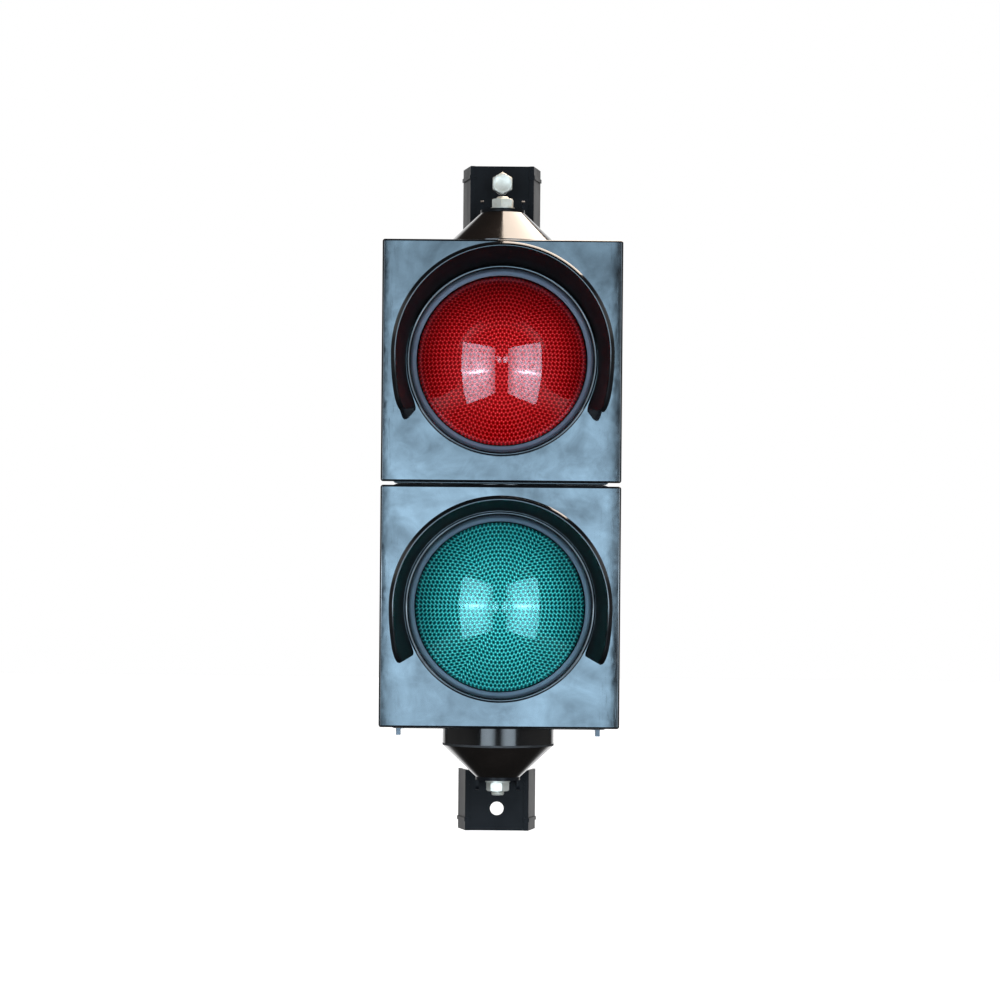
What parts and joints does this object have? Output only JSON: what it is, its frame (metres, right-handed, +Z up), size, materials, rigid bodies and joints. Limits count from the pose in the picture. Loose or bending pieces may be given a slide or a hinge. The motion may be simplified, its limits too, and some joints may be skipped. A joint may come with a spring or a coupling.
{
  "type": "traffic signal head",
  "caption": "Vertical two-aspect traffic signal head, red over green, with cowl visors, hinged doors and swivel pole brackets.",
  "frame": {"origin": "centre of the lower pole bore at the back face of its pole plate", "axes": "+Z up along the stack of signals, lenses look along -Y, pole behind at +Y"},
  "size_m": [0.282, 0.338, 0.828],
  "materials": {
    "housing_black": "glossy moulded",
    "door_black": "high gloss moulded",
    "visor_black": "glossy moulded",
    "bezel_black": "satin gloss",
    "bracket_black": "glossy moulded",
    "latch_black": "satin moulded",
    "lens_red": "clear tinted",
    "lens_green": "clear tinted",
    "seal_rubber": "matte",
    "zinc_steel": "zinc plated",
    "clip_steel": "galvanised",
    "insert_grey": "matte moulded",
    "circuit_board": "solder mask",
    "led_epoxy": "clear epoxy",
    "terminal_grey": "matte moulded"
  },
  "bodies": {
    "lower_bracket": {"lower_arm": "bracket_black"},
    "upper_bracket": {"upper_arm": "bracket_black", "upper_pole_bolt": "zinc_steel"},
    "red_door": {"red_door": "door_black", "red_door_gasket": "seal_rubber", "red_visor": "visor_black", "red_visor_screws": "zinc_steel", "red_bezel": "bezel_black", "red_lens": "lens_red", "red_lens_gasket": "seal_rubber", "red_lens_clips": "clip_steel", "red_clip_screws": "zinc_steel", "red_insert_shell": "insert_grey", "red_led_board": "circuit_board", "red_leds": "led_epoxy", "red_driver_board": "circuit_board"},
    "red_latch_top": {"red_latch_top": "latch_black"},
    "red_latch_bottom": {"red_latch_bottom": "latch_black"},
    "green_door": {"green_door": "door_black", "green_door_gasket": "seal_rubber", "green_visor": "visor_black", "green_visor_screws": "zinc_steel", "green_bezel": "bezel_black", "green_lens": "lens_green", "green_lens_gasket": "seal_rubber", "green_lens_clips": "clip_steel", "green_clip_screws": "zinc_steel", "green_insert_shell": "insert_grey", "green_led_board": "circuit_board", "green_leds": "led_epoxy", "green_driver_board": "circuit_board"},
    "green_latch_top": {"green_latch_top": "latch_black"},
    "green_latch_bottom": {"green_latch_bottom": "latch_black"},
    "head": {"lower_gasket": "seal_rubber", "lower_cone": "bracket_black", "lower_washer": "zinc_steel", "lower_nut": "zinc_steel", "lower_swivel_bolt": "zinc_steel", "lower_inner_washer": "zinc_steel", "upper_gasket": "seal_rubber", "upper_cone": "bracket_black", "upper_washer": "zinc_steel", "upper_nut": "zinc_steel", "upper_swivel_bolt": "zinc_steel", "upper_inner_washer": "zinc_steel", "coupling_gasket": "seal_rubber", "coupling_washers": "zinc_steel", "coupling_bolt": "zinc_steel", "coupling_nut": "zinc_steel", "backboard_lugs": "clip_steel", "lug_screws": "zinc_steel", "terminal_block": "terminal_grey", "terminal_screws": "zinc_steel", "cable_grommet": "seal_rubber", "red_body": "housing_black", "red_hinge_pins": "zinc_steel", "red_latch_screws": "zinc_steel", "green_body": "housing_black", "green_hinge_pins": "zinc_steel", "green_latch_screws": "zinc_steel"}
  },
  "joints": [
    {"name": "head_swivel", "type": "hinge", "parent": "lower_bracket", "child": "head", "pos_m": [0, -0.114, 0.046], "axis": [0, 0, 1], "range_deg": [-45, 45]},
    {"name": "upper_bracket_swivel", "type": "hinge", "parent": "head", "child": "upper_bracket", "pos_m": [0, -0.114, 0.727], "axis": [0, 0, 1], "range_deg": [-45, 45]},
    {"name": "red_door_hinge", "type": "hinge", "parent": "head", "child": "red_door", "pos_m": [-0.1345, -0.182, 0.5405], "axis": [0, 0, -1], "range_deg": [0, 100]},
    {"name": "red_latch_top_turn", "type": "hinge", "parent": "head", "child": "red_latch_top", "pos_m": [0.13, -0.162, 0.6355], "axis": [-1, 0, 0], "range_deg": [0, 90]},
    {"name": "red_latch_bottom_turn", "type": "hinge", "parent": "head", "child": "red_latch_bottom", "pos_m": [0.13, -0.162, 0.4455], "axis": [-1, 0, 0], "range_deg": [0, 90]},
    {"name": "green_door_hinge", "type": "hinge", "parent": "head", "child": "green_door", "pos_m": [-0.1345, -0.182, 0.2525], "axis": [0, 0, -1], "range_deg": [0, 100]},
    {"name": "green_latch_top_turn", "type": "hinge", "parent": "head", "child": "green_latch_top", "pos_m": [0.13, -0.162, 0.3475], "axis": [-1, 0, 0], "range_deg": [0, 90]},
    {"name": "green_latch_bottom_turn", "type": "hinge", "parent": "head", "child": "green_latch_bottom", "pos_m": [0.13, -0.162, 0.1575], "axis": [-1, 0, 0], "range_deg": [0, 90]}
  ],
  "couplings": [
    {"joint": "upper_bracket_swivel", "follows": "head_swivel", "ratio": -1}
  ]
}
